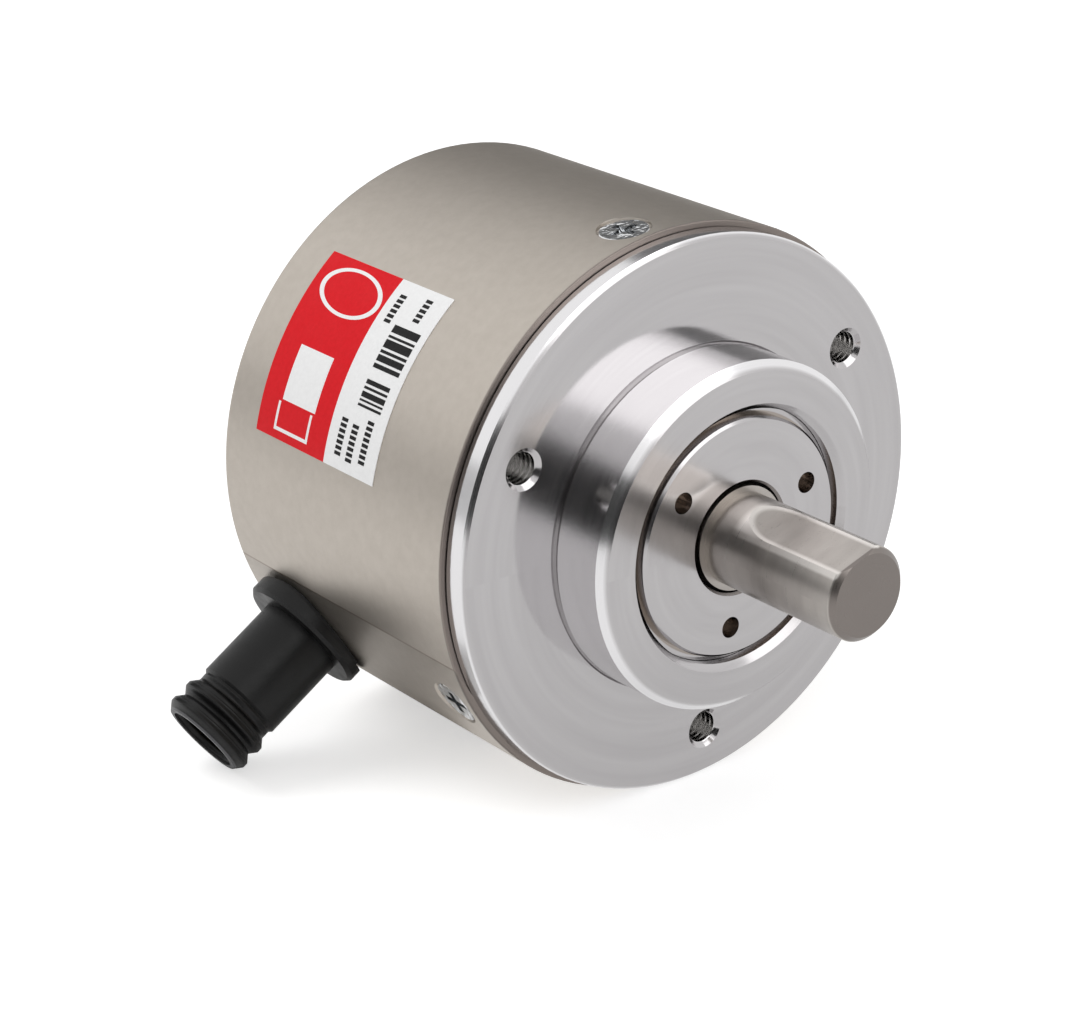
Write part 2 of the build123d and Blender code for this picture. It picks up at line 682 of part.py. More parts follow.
def disc_hub():
    """Hub on the tail of the shaft that carries the code disc."""
    body = turned([
        (DISC_HUB_FRONT, TAIL_R + FIT_GAP),
        (DISC_HUB_FRONT, DISC_HUB_R - RING_CHAMFER),
        (DISC_HUB_FRONT - RING_CHAMFER, DISC_HUB_R),
        (DISC_FRONT, DISC_HUB_R),
        (DISC_FRONT, DISC_SEAT_R),
        (CLAMP_BACK, DISC_SEAT_R),
        (CLAMP_BACK, TAIL_R + FIT_GAP),
    ])
    for angle in ring_of(GRUB_COUNT, 0):
        body -= grub_frame(angle) * rod(0, DISC_HUB_R + CUT, GRUB_R + GRUB_GAP)
    for angle in ring_of(CLAMP_SCREW_COUNT, CLAMP_SCREW_ANGLE):
        foot = DISC_BACK - CLAMP_THICKNESS + CLAMP_SCREW_LENGTH + SCREW_GAP
        body -= around(angle, CLAMP_SCREW_CIRCLE_R) * rod(CLAMP_BACK, foot, CLAMP_SCREW_R + SCREW_GAP)
    return body


def grub_frame(angle):
    return outward(angle, DISC_HUB_FRONT - DISC_HUB_LENGTH / 2)


def hub_grub_screws():
    screw = rod(TAIL_R, DISC_HUB_R - RING_CHAMFER, GRUB_R)
    return [grub_frame(angle) * screw for angle in ring_of(GRUB_COUNT, 0)]


def slot(inner_r, outer_r, angle, width):
    """Sector-shaped window through the code disc."""
    corners = [(r, a) for r, a in ((inner_r, -1), (inner_r, 1), (outer_r, 1), (outer_r, -1))]
    points = [(r * cos(radians(angle + a * width / 2)), r * sin(radians(angle + a * width / 2)))
              for r, a in corners]
    return Polyline(*points, close=True)


def code_disc():
    """Thin metal disc with one ring of windows and an index window."""
    outline = Circle(DISC_R) - Circle(DISC_SEAT_R + FIT_GAP)
    window = 360 / SLOT_COUNT / 2
    for angle in ring_of(SLOT_COUNT, 0):
        outline -= make_face(slot(SLOT_INNER_R, SLOT_OUTER_R, angle, window))
    outline -= make_face(slot(INDEX_INNER_R, INDEX_OUTER_R, 0, window))
    for angle in ring_of(CLAMP_SCREW_COUNT, CLAMP_SCREW_ANGLE):
        turn = radians(angle)
        place = Pos(CLAMP_SCREW_CIRCLE_R * cos(turn), CLAMP_SCREW_CIRCLE_R * sin(turn))
        outline -= place * Circle(CLAMP_SCREW_R + SCREW_GAP)
    return extrude(Plane.YZ.offset(DISC_BACK) * outline, DISC_THICKNESS)


def disc_clamp_ring():
    ring = tube(CLAMP_BACK, DISC_BACK, DISC_SEAT_R + FIT_GAP, DISC_HUB_R)
    for angle in ring_of(CLAMP_SCREW_COUNT, CLAMP_SCREW_ANGLE):
        hole = rod(CLAMP_BACK - CUT, DISC_BACK + CUT, CLAMP_SCREW_R + SCREW_GAP)
        ring -= around(angle, CLAMP_SCREW_CIRCLE_R) * hole
    return ring


def disc_clamp_screws():
    head = rod(CLAMP_BACK - CLAMP_SCREW_HEAD, CLAMP_BACK, CLAMP_SCREW_HEAD_R)
    screw = head + rod(CLAMP_BACK, CLAMP_BACK + CLAMP_SCREW_LENGTH, CLAMP_SCREW_R)
    angles = ring_of(CLAMP_SCREW_COUNT, CLAMP_SCREW_ANGLE)
    return [around(angle, CLAMP_SCREW_CIRCLE_R) * screw for angle in angles]


def main_board():
    """Round circuit board with a notch for the connector tails and holes for the posts."""
    body = rod(BOARD_BACK, BOARD_FRONT, BOARD_R)
    notch = Pos(BOARD_NOTCH_FLOOR, -BOARD_NOTCH_WIDTH / 2, -BOARD_R / 2) * Box(
        BOARD_R, BOARD_NOTCH_WIDTH, BOARD_R, align=Align.MIN)
    body -= connector_frame() * notch
    for angle in ring_of(POST_COUNT, POST_ANGLE):
        body -= around(angle, POST_CIRCLE_R) * rod(BOARD_BACK - CUT, BOARD_FRONT + CUT, BOARD_HOLE_R)
    return body


def board_posts():
    """Hexagonal posts with a stud into the flange and a tapped end for the board."""
    post = hex_prism(BOARD_FRONT, -WEB_DEPTH, POST_CORNER_R)
    post += rod(-WEB_DEPTH, -WEB_DEPTH + POST_STUD_LENGTH, POST_STUD_R)
    post -= rod(BOARD_FRONT - CUT, BOARD_FRONT + POST_BORE_DEPTH, BOARD_SCREW_R + SCREW_GAP)
    return [around(angle, POST_CIRCLE_R) * post for angle in ring_of(POST_COUNT, POST_ANGLE)]


def board_screws():
    tip = BOARD_FRONT + BOARD_SCREW_LENGTH
    screw = rod(BOARD_BACK, tip, BOARD_SCREW_R)
    screw += rod(BOARD_BACK - BOARD_SCREW_HEAD, BOARD_BACK, BOARD_SCREW_HEAD_R)
    return [around(angle, POST_CIRCLE_R) * screw for angle in ring_of(POST_COUNT, POST_ANGLE)]


def lamp_frame():
    return around(OPTICS_ANGLE, LAMP_CENTRE_R)


def lamp_holder():
    """Moulded bracket on the flange web that carries the lamp up to the code disc."""
    foot_depth, foot_radial, foot_width = LAMP_FOOT
    radial, width = LAMP_COLUMN
    foot = Pos(-WEB_DEPTH - foot_depth / 2, 0, 0) * Box(foot_depth, foot_radial, foot_width)
    length = -WEB_DEPTH - LAMP_BACK
    column = Pos(-WEB_DEPTH - length / 2, 0, 0) * Box(length, radial, width)
    body = foot + fillet(column.edges().filter_by(Axis.X), LAMP_COLUMN_EDGE_R)
    bore = rod(LAMP_BACK - CUT, LAMP_BACK + LAMP_BORE_DEPTH, LAMP_BORE_R)
    body -= Pos(0, -LAMP_R_SHIFT, 0) * bore
    for side in (-1, 1):
        hole = rod(-WEB_DEPTH - foot_depth - CUT, 0, LAMP_SCREW_R + SCREW_GAP)
        body -= Pos(0, 0, side * LAMP_SCREW_SPREAD) * hole
    return lamp_frame() * body


def lamp_screws():
    foot_back = -WEB_DEPTH - LAMP_FOOT[0]
    screw = rod(foot_back, -WEB_DEPTH + LAMP_SCREW_DEPTH - DRILL_POINT, LAMP_SCREW_R)
    screw += rod(foot_back - LAMP_SCREW_HEAD, foot_back, LAMP_SCREW_HEAD_R)
    return [lamp_frame() * Pos(0, 0, side * LAMP_SCREW_SPREAD) * screw for side in (-1, 1)]


def led():
    """Lamp with a domed end towards the code disc."""
    seat = LAMP_BACK + LAMP_BORE_DEPTH
    body = rod(seat - LED_BODY, seat, LED_R)
    dome = Pos(seat - LED_BODY, 0, 0) * Sphere(LED_R)
    return around(OPTICS_ANGLE, OPTICS_R) * (body + dome)


def lens():
    """Plano-convex lens in the mouth of the lamp bore, bulging towards the code disc."""
    centre = LAMP_BACK + LENS_BULGE_R
    rim = centre - sqrt(LENS_BULGE_R ** 2 - LED_R ** 2)
    bulge = RadiusArc((LAMP_BACK, 0), (rim, LED_R), LENS_BULGE_R)
    flat = LAMP_BACK + LENS_THICKNESS
    sides = Polyline((rim, LED_R), (flat, LED_R), (flat, 0), (LAMP_BACK, 0))
    body = revolve(make_face([bulge, sides]), Axis.X)
    return around(OPTICS_ANGLE, OPTICS_R) * body


def stacked(layer_front, size):
    """Block on the optics line with its rear face at an x, growing towards the disc."""
    depth, radial, width = size
    return around(OPTICS_ANGLE, OPTICS_R, layer_front + depth / 2) * Box(depth, radial, width)


def sensor_carrier():
    return stacked(BOARD_FRONT, CARRIER)


def sensor_chip():
    return stacked(BOARD_FRONT + CARRIER[0], SENSOR)


def reticle():
    return stacked(BOARD_FRONT + CARRIER[0] + SENSOR[0], RETICLE)


def header_depth():
    return BOARD_BACK + CONNECTOR_BEHIND_FACE - HEADER[0] / 2


def wire_header():
    """Plug-in header for the wires, on the rear of the board."""
    depth, radial, width = HEADER
    body = Pos(HEADER_R, 0, header_depth()) * Box(radial, width, depth)
    mouth_depth, mouth_width, mouth_height = HEADER_MOUTH
    for y in header_places():
        place = Pos(HEADER_R + radial / 2, y, header_depth())
        body -= place * Box(2 * mouth_depth, mouth_width, mouth_height)
    return connector_frame() * body


def header_places():
    return [(index - (PIN_COUNT - 1) / 2) * HEADER_PITCH for index in range(PIN_COUNT)]


def connector_wires():
    """One insulated wire from each contact tail to the header."""
    entry = HEADER_R + HEADER[1] / 2 - HEADER_MOUTH[0] + WIRE_ENTRY
    starts = sorted(pin_places())
    wires = []
    for (y, z), target in zip(starts, header_places()):
        path = Spline((PIN_TAIL, y, z), (entry, target, header_depth()), tangents=[(-1, 0, 0), (-1, 0, 0)])
        section = Plane(origin=path @ 0, z_dir=path % 0) * Circle(WIRE_R)
        wires.append(connector_frame() * sweep(section, path=path))
    return wires


def rear_block(size, spot):
    """Box that stands on the rear face of the board at a (y, z) spot."""
    depth, across, along = size
    y, z = spot
    return Pos(BOARD_BACK - depth / 2, y, z) * Box(depth, across, along)


def driver_chips():
    """Two line drivers with leads along both sides."""
    chips = []
    lead_depth, lead_span, lead_width = DRIVER_LEAD
    for y, z in DRIVER_SPOTS:
        chip = rear_block(DRIVER, (y, z))
        for index in range(DRIVER_LEAD_COUNT):
            shift = (index - (DRIVER_LEAD_COUNT - 1) / 2) * DRIVER_LEAD_PITCH
            chip += rear_block((lead_depth, lead_span, lead_width), (y, z + shift))
        chips.append(chip)
    return chips


def capacitors():
    can = fillet(
        rod(BOARD_BACK - CAPACITOR_HEIGHT, BOARD_BACK, CAPACITOR_R).edges().group_by(Axis.X)[0],
        RING_CHAMFER)
    return [Pos(0, y, z) * can for y, z in CAPACITOR_SPOTS]


def chip_resistors():
    return [rear_block(CHIP, spot) for spot in CHIP_SPOTS]


NODES = {
    "flange": flange(),
    "bearing_retainer": bearing_retainer(),
    "shaft_seal": shaft_seal(),
    "front_bearing_outer_ring": bearing_outer_ring(FRONT_BEARING_X),
    "front_bearing_inner_ring": bearing_inner_ring(FRONT_BEARING_X),
    "front_bearing_balls": bearing_balls(FRONT_BEARING_X),
    "front_bearing_cage": bearing_cage(FRONT_BEARING_X),
    "front_bearing_shields": bearing_shields(FRONT_BEARING_X),
    "rear_bearing_outer_ring": bearing_outer_ring(REAR_BEARING_X),
    "rear_bearing_inner_ring": bearing_inner_ring(REAR_BEARING_X),
    "rear_bearing_balls": bearing_balls(REAR_BEARING_X),
    "rear_bearing_cage": bearing_cage(REAR_BEARING_X),
    "rear_bearing_shields": bearing_shields(REAR_BEARING_X),
    "outer_spacer": outer_spacer(),
    "inner_spacer": inner_spacer(),
    "preload_washer": preload_washer(),
    "shaft": shaft(),
    "shaft_circlip": shaft_circlip(),
    "cover": cover(),
    "cover_o_ring": cover_o_ring(),
    "cover_screws": cover_screws(),
    "connector_shell": connector_shell(),
    "connector_gasket": connector_gasket(),
    "connector_nut": connector_nut(),
    "connector_insert": connector_insert(),
    "connector_pins": connector_pins(),
    "connector_wires": connector_wires(),
    "disc_hub": disc_hub(),
    "hub_grub_screws": hub_grub_screws(),
    "code_disc": code_disc(),
    "disc_clamp_ring": disc_clamp_ring(),
    "disc_clamp_screws": disc_clamp_screws(),
    "main_board": main_board(),
    "board_posts": board_posts(),
    "board_screws": board_screws(),
    "lamp_holder": lamp_holder(),
    "lamp_screws": lamp_screws(),
    "led": led(),
    "lens": lens(),
    "sensor_carrier": sensor_carrier(),
    "sensor_chip": sensor_chip(),
    "reticle": reticle(),
    "wire_header": wire_header(),
    "driver_chips": driver_chips(),
    "capacitors": capacitors(),
    "chip_resistors": chip_resistors(),
}

for name, shape in NODES.items():
    pieces = shape if isinstance(shape, list) else [shape]
    solids = [solid for piece in pieces for solid in piece.solids()]
    export_step(Compound(children=solids), f"parts/{name}.step")
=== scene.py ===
import json
import math

import bmesh
import bpy
from mathutils import Matrix, Vector


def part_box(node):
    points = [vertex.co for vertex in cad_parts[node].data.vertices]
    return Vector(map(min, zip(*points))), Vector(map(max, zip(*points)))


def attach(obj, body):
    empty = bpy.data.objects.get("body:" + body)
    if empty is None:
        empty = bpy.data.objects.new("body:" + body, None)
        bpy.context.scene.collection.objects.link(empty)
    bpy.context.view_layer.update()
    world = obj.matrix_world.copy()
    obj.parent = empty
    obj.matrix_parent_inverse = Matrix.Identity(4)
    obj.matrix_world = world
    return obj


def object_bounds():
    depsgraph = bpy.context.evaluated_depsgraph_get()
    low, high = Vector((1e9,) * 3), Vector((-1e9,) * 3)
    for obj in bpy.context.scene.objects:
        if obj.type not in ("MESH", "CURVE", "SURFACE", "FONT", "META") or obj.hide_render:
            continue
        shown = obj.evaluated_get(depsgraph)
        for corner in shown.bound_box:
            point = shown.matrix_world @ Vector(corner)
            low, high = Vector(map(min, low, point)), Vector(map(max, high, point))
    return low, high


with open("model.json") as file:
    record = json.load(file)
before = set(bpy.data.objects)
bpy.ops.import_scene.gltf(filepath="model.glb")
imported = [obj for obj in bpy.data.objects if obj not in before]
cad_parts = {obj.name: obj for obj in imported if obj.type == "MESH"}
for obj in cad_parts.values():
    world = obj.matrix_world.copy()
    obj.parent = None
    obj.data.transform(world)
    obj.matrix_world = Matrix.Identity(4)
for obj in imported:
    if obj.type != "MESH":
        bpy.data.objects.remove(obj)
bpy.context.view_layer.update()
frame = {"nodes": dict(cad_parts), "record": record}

MM = 0.001
HOUSING = "housing"
CENTRE = (0.0, 0.0, 0.0)

# A colour Mix node's sockets, by number because their names repeat
MIX_FACTOR = 0
MIX_A = 6
MIX_B = 7
MIX_RESULT = 2

# Where finishes change on a piece, painted shade and painted highlights among them: lengths in metres, angles
# in degrees round the X axis
SEAM_SHADE_X = (-2.95 * MM, -2.75 * MM)
COLLAR_SIDE_R = (17.2 * MM, 17.5 * MM)
COLLAR_SIDE_X = (0.15 * MM, 0.3 * MM)
RIM_SIDE_R = (28.75 * MM, 28.9 * MM)
HOLE_THREAD_X = (-0.7 * MM, -0.4 * MM)
HOLE_THREAD_R = (27.0 * MM, 27.4 * MM)
HOLE_THREAD_PITCH = 0.7 * MM
HOLE_THREAD_DEPTH = 0.05 * MM
SPANNER_HOLE_X = (6.0 * MM, 6.4 * MM)
SPANNER_HOLE_R = (12.6 * MM, 12.7 * MM)
DIMPLE_DEPTH = 0.25 * MM
SHAFT_END_X = (23.95 * MM, 24.05 * MM)
SHAFT_FLAT_ANGLE = 108.5
SHAFT_FLAT_EDGE_RISE = (3.56 * MM, 3.74 * MM)
SHAFT_FLAT_EDGE_R = (4.5 * MM, 4.65 * MM)
SHAFT_FLAT_EDGE_X = (9.6 * MM, 10.4 * MM)
PLUG_ANGLE = 213.3
COVER_FLAT_RISE = 28.73 * MM
COVER_FLAT_LINE = (0.015 * MM, 0.035 * MM)
COVER_FLAT_LINE_STRENGTH = 0.8
PLUG_RIDGES_FROM = (40.9 * MM, 41.2 * MM)
PLUG_RIDGE_PITCH = 1.075 * MM
PLUG_RIDGE_DEPTH = 0.10 * MM
PLUG_RIM = (45.95 * MM, 46.05 * MM)

# Base colours, a darker and a lighter one each
COVER_METAL = ((0.525, 0.478, 0.425), (0.560, 0.512, 0.458))
FLANGE_METAL = ((0.49, 0.475, 0.48), (0.53, 0.515, 0.52))
SHAFT_METAL = ((0.43, 0.40, 0.375), (0.49, 0.46, 0.43))
PLUG_BLACK = ((0.0025, 0.0025, 0.0026), (0.0045, 0.0045, 0.0046))
BOARD_GREEN = ((0.010, 0.105, 0.045), (0.016, 0.15, 0.065))
CLEAR = ((0.93, 0.95, 0.96), (0.98, 0.99, 1.0))

# Colours of the places where a finish changes, painted shade and painted highlights among them
# Painted shade in the seam between the cover's front edge and the flange
COVER_SEAM_SHADE = (0.26, 0.225, 0.205)
COVER_FLAT_EDGE = (0.31, 0.25, 0.21)
# Painted highlight on the sides of collar and rim
SIDE_HIGHLIGHT = (0.80, 0.79, 0.80)
HOLE_THREAD = (0.66, 0.65, 0.64)
# Painted shade in the spanner holes and the groove inside the collar
SPANNER_HOLE_SHADE = (0.36, 0.32, 0.29)
# Painted shade on the shaft's end face
SHAFT_END_SHADE = (0.235, 0.21, 0.195)
# Painted highlight along the edges of the shaft's flat
SHAFT_FLAT_EDGE_HIGHLIGHT = (0.78, 0.745, 0.71)
# Painted highlight on the plug's rim
PLUG_RIM_HIGHLIGHT = (0.10, 0.10, 0.105)

# Camera, as solved from the photograph
CAMERA_PLACE = (0.199045, -0.176694, 0.108772)
CAMERA_RIGHT = (0.61922, 0.78521, 0.0)
CAMERA_UP = (-0.29730, 0.23445, 0.92555)
CAMERA_BACK = (0.72676, -0.57312, 0.37862)
CAMERA_LENS = 96.198
CAMERA_SENSOR = 36.0
CAMERA_NEAR = 0.01

# Floor and light
FLOOR_REACH = 3.0
FLOOR_WHITE = 0.82
FLOOR_GLOW = 0.53
FLOOR_MIRRORED_WHITE = 0.36
FLOOR_MIRRORED_GLOW = 0.63
SKY_LEVEL = 0.45
LAMPS = {
    "lamp_top": dict(place=(0.36, 0.07, 0.35), size=(0.46, 0.40), watts=0.68, mirrored=True),
    "lamp_left": dict(place=(-0.36, -0.24, 0.42), size=(0.34, 0.34), watts=1.5, mirrored=False),
    "lamp_front": dict(place=(0.55, -0.05, 0.20), size=(0.40, 0.30), watts=0.7, mirrored=False),
}
CARDS = {
    "card_back": dict(place=(-0.46, 0.315, 0.13), aim=CENTRE, size=(0.60, 0.52), grey=0.19),
    "card_left": dict(place=(0.16, -0.26, 0.005), aim=(0.16, 0.0, 0.005), size=(0.60, 0.070), grey=0.03),
    "card_left_rear": dict(place=(-0.32, -0.26, 0.022), aim=(-0.32, 0.0, 0.022), size=(0.36, 0.104),
                           grey=0.75),
    "card_front": dict(place=(0.42, -0.20, 0.135), aim=CENTRE, size=(0.50, 0.19), grey=0.05),
    "card_right": dict(place=(0.33, 0.29, 0.072), aim=CENTRE, size=(0.10, 0.16), grey=0.08),
    # card_under lies on the floor under the object and is seen only in reflections, as a painted shadow of
    # the object there.
    "card_under": dict(place=(-0.0335, -0.003, -0.0294), aim=(-0.0335, -0.003, 0.0), size=(0.029, 0.076),
                       grey=0.92),
}

# Print colours, a darker and a lighter one each
LABEL_RED = ((0.70, 0.010, 0.016), (0.76, 0.013, 0.021))
LABEL_WHITE = ((0.90, 0.90, 0.90), (0.95, 0.95, 0.95))
LABEL_INK = ((0.010, 0.010, 0.010), (0.018, 0.018, 0.018))

# Sticker: x in metres, angles in degrees round the cover
LABEL_REAR = -34.65 * MM
LABEL_SPLIT = -22.65 * MM
LABEL_FRONT = -14.3 * MM
LABEL_TOP_ANGLE = 129.6
LABEL_LOW_ANGLE = 168.3
LABEL_THICKNESS = 0.08 * MM
LABEL_CLEARANCE = 0.01 * MM
PRINT_THICKNESS = 0.02 * MM
RING_CENTRE = (-28.2 * MM, 136.3)
RING_ACROSS = (4.43 * MM, -2.1)
RING_ALONG = (2.47 * MM, 4.65)
RING_HOLE = 0.86
RING_STEPS = 72
PATCH_STEP = 1.5
WHITE_BLOCK = (-31.2 * MM, -25.5 * MM, 149.1, 160.4)
FRAME_BLOCK = (-31.7 * MM, -25.8 * MM, 160.9, 166.6)
FRAME_LINE = (0.35 * MM, 0.7)
BAR_GROUPS = (
    (-19.5 * MM, -15.25 * MM,
     ((138.5, 1.6), (140.7, 0.5), (141.6, 1.7), (143.8, 0.6), (144.8, 1.3), (146.6, 0.9))),
    (-19.45 * MM, -15.65 * MM,
     ((149.9, 0.9), (151.3, 0.5), (152.3, 1.1), (153.8, 0.4), (154.7, 0.5))),
)
DASH_LINES = (
    (-20.9 * MM, 132.6, 139.6), (-17.1 * MM, 131.6, 137.4),
    (-20.6 * MM, 158.4, 167.2), (-18.7 * MM, 158.8, 167.0), (-16.6 * MM, 157.0, 166.8),
)
DASH_WIDTH = 1.0 * MM
DASH_STEP = 1.1
DASH_LENGTH = 0.7


def matrix_facing(place, target):
    """The place and turn of something that looks along its own -Z from place to target."""
    away = Vector(place) - Vector(target)
    return Matrix.Translation(Vector(place)) @ away.to_track_quat("Z", "Y").to_matrix().to_4x4()


def add_object(name, data):
    thing = bpy.data.objects.new(name, data)
    bpy.context.scene.collection.objects.link(thing)
    return thing


def sheet_mesh(name, segments, wide, high):
    """A flat sheet round its own centre, facing up."""
    build = bmesh.new()
    bmesh.ops.create_grid(build, x_segments=segments, y_segments=segments, size=0.5)
    bmesh.ops.scale(build, vec=(wide, high, 1.0), verts=build.verts)
    mesh = bpy.data.meshes.new(name)
    build.to_mesh(mesh)
    build.free()
    return mesh


def feed(tree, socket, value):
    """Link value to the socket, or set the socket to it where it is a constant."""
    if isinstance(value, bpy.types.NodeSocket):
        tree.links.new(value, socket)
    else:
        socket.default_value = value


# Materials
class Finish:
    """One material and its nodes, built up by short calls."""

    def __init__(self, name, **sockets):
        self.material = bpy.data.materials.new(name)
        self.material.use_nodes = True
        self.tree = self.material.node_tree
        self.tree.nodes.clear()
        out = self.tree.nodes.new("ShaderNodeOutputMaterial")
        self.skin = self.tree.nodes.new("ShaderNodeBsdfPrincipled")
        self.tree.links.new(self.skin.outputs["BSDF"], out.inputs["Surface"])
        for socket, value in sockets.items():
            self.skin.inputs[socket.replace("_", " ")].default_value = value
        self.place = self.tree.nodes.new("ShaderNodeTexCoord").outputs["Object"]

    def node(self, kind, settings=None, **inputs):
        """A new node; an underscore in an input's name stands for a space."""
        made = self.tree.nodes.new(kind)
        for key, value in (settings or {}).items():
            setattr(made, key, value)
        for key, value in inputs.items():
            feed(self.tree, made.inputs[key.replace("_", " ")], value)
        return made

    def maths(self, operation, *values):
        made = self.node("ShaderNodeMath", {"operation": operation})
        for socket, value in zip(made.inputs, values):
            feed(self.tree, socket, value)
        return made.outputs[0]

    def product(self, first, second):
        return self.maths("MULTIPLY", first, second)

    def xyz(self):
        return self.node("ShaderNodeSeparateXYZ", Vector=self.place).outputs

    def radius(self, y, z):
        return self.maths("SQRT", self.maths("ADD", self.product(y, y), self.product(z, z)))

    def rise(self, y, z, angle):
        """How far out from the X axis in the direction of angle."""
        turn = math.radians(angle)
        return self.maths("ADD", self.product(y, math.cos(turn)), self.product(z, math.sin(turn)))

    def wave(self, value, pitch):
        return self.maths("SINE", self.product(value, 2 * math.pi / pitch))

    def around_axis(self, along, out, turn):
        """Coordinates that run along X, out from it and round it, each by its own scale."""
        x, y, z = self.xyz()
        made = self.tree.nodes.new("ShaderNodeCombineXYZ")
        scaled = ((x, along), (self.radius(y, z), out), (self.maths("ARCTAN2", z, y), turn))
        for socket, (value, scale) in zip(made.inputs, scaled):
            self.tree.links.new(self.product(value, scale), socket)
        return made.outputs[0]

    def noise(self, scale, detail=4.0, roughness=0.55, vector=None):
        made = self.node("ShaderNodeTexNoise", Vector=vector or self.place, Scale=scale, Detail=detail,
                         Roughness=roughness)
        return made.outputs["Fac"]

    def spread(self, value, low, high, start=0.3, end=0.7):
        """value, brought from start..end to low..high."""
        return self.node("ShaderNodeMapRange", Value=value, From_Min=start, From_Max=end,
                         To_Min=low, To_Max=high).outputs[0]

    def past(self, value, edge):
        """0 below the edge and 1 above it; the edge is the two ends of the change."""
        return self.spread(value, 0.0, 1.0, *edge)

    def short_of(self, value, edge):
        """1 below the edge and 0 above it."""
        return self.spread(value, 1.0, 0.0, *edge)

    def colour(self, value, dark, light, start=0.3, end=0.7):
        ramp = self.tree.nodes.new("ShaderNodeValToRGB")
        ramp.color_ramp.elements[0].position = start
        ramp.color_ramp.elements[1].position = end
        ramp.color_ramp.elements[0].color = (*dark, 1.0)
        ramp.color_ramp.elements[1].color = (*light, 1.0)
        self.tree.links.new(value, ramp.inputs["Fac"])
        self.tree.links.new(ramp.outputs["Color"], self.skin.inputs["Base Color"])

    def tint(self, value, colour):
        """Blend the base colour towards another one."""
        base = self.skin.inputs["Base Color"]
        mix = self.node("ShaderNodeMix", {"data_type": "RGBA"})
        self.tree.links.new(value, mix.inputs[MIX_FACTOR])
        self.tree.links.new(base.links[0].from_socket, mix.inputs[MIX_A])
        mix.inputs[MIX_B].default_value = (*colour, 1.0)
        self.tree.links.new(mix.outputs[MIX_RESULT], base)

    def rough(self, value, smooth, dull):
        self.tree.links.new(self.spread(value, smooth, dull), self.skin.inputs["Roughness"])

    def bump(self, value, depth):
        made = self.node("ShaderNodeBump", Height=value, Distance=depth, Strength=1.0)
        earlier = self.skin.inputs["Normal"]
        if earlier.is_linked:
            self.tree.links.new(earlier.links[0].from_socket, made.inputs["Normal"])
        self.tree.links.new(made.outputs["Normal"], earlier)

    def brushed_round(self, amount):
        """Highlights drawn out across grooves that run round the X axis."""
        tangent = self.node("ShaderNodeTangent", {"direction_type": "RADIAL", "axis": "X"})
        self.tree.links.new(tangent.outputs["Tangent"], self.skin.inputs["Tangent"])
        self.skin.inputs["Anisotropic"].default_value = amount


def satin_cover():
    """Bead-blasted and plated, flat below the plug, with painted shade on the front edge at the open end, in
    the seam against the flange.
    """
    made = Finish("cover_satin", Metallic=1.0)
    grain = made.noise(scale=9000.0, detail=2.0, roughness=0.7)
    made.colour(made.noise(scale=900.0, detail=3.0), *COVER_METAL)
    x, y, z = made.xyz()
    below = made.maths("SUBTRACT", COVER_FLAT_RISE, made.rise(y, z, PLUG_ANGLE))
    line = made.spread(made.maths("ABSOLUTE", below), COVER_FLAT_LINE_STRENGTH, 0.0, *COVER_FLAT_LINE)
    made.tint(line, COVER_FLAT_EDGE)
    # Painted shade: the cover's front edge, in the seam against the flange, is darkened.
    made.tint(made.past(x, SEAM_SHADE_X), COVER_SEAM_SHADE)
    made.rough(grain, smooth=0.36, dull=0.44)
    made.bump(grain, depth=0.005 * MM)
    made.bump(made.maths("MINIMUM", below, 0.0), depth=1.0)
    return made


def turned_metal(name, dark, light, smooth, dull, groove=0.0008 * MM, brushed=0.85):
    """Metal cut on a lathe: fine grooves round the X axis."""
    made = Finish(name, Metallic=1.0)
    grooves = made.noise(scale=1.0, detail=3.0, vector=made.around_axis(along=9000.0, out=9000.0, turn=0.6))
    bands = made.noise(scale=1.0, detail=2.0, vector=made.around_axis(along=700.0, out=700.0, turn=0.8))
    made.colour(bands, dark, light)
    made.rough(grooves, smooth, dull)
    made.bump(grooves, groove)
    made.brushed_round(brushed)
    return made


def flange_finish():
    """Turned aluminium, with a painted highlight on the sides of collar and rim, with threads in the tapped
    holes.
    """
    made = turned_metal("flange_turned", *FLANGE_METAL, smooth=0.11, dull=0.16)
    x, y, z = made.xyz()
    radius = made.radius(y, z)
    collar = made.product(made.past(radius, COLLAR_SIDE_R), made.past(x, COLLAR_SIDE_X))
    rim = made.past(radius, RIM_SIDE_R)
    # Painted highlight: the sides of the collar and rim are lightened to stand in for the bright light they
    # reflect.
    made.tint(made.maths("MAXIMUM", collar, rim), SIDE_HIGHLIGHT)
    # Painted shade: darker deep inside the collar, behind 6 mm and within 12.6 mm of the axis, where the
    # spanner holes and the groove lie.
    spanner_shade = made.product(made.short_of(x, SPANNER_HOLE_X), made.short_of(radius, SPANNER_HOLE_R))
    made.tint(spanner_shade, SPANNER_HOLE_SHADE)
    inside = made.product(made.short_of(x, HOLE_THREAD_X), made.short_of(radius, HOLE_THREAD_R))
    made.tint(inside, HOLE_THREAD)
    made.bump(made.product(made.wave(x, HOLE_THREAD_PITCH), inside), HOLE_THREAD_DEPTH)
    return made


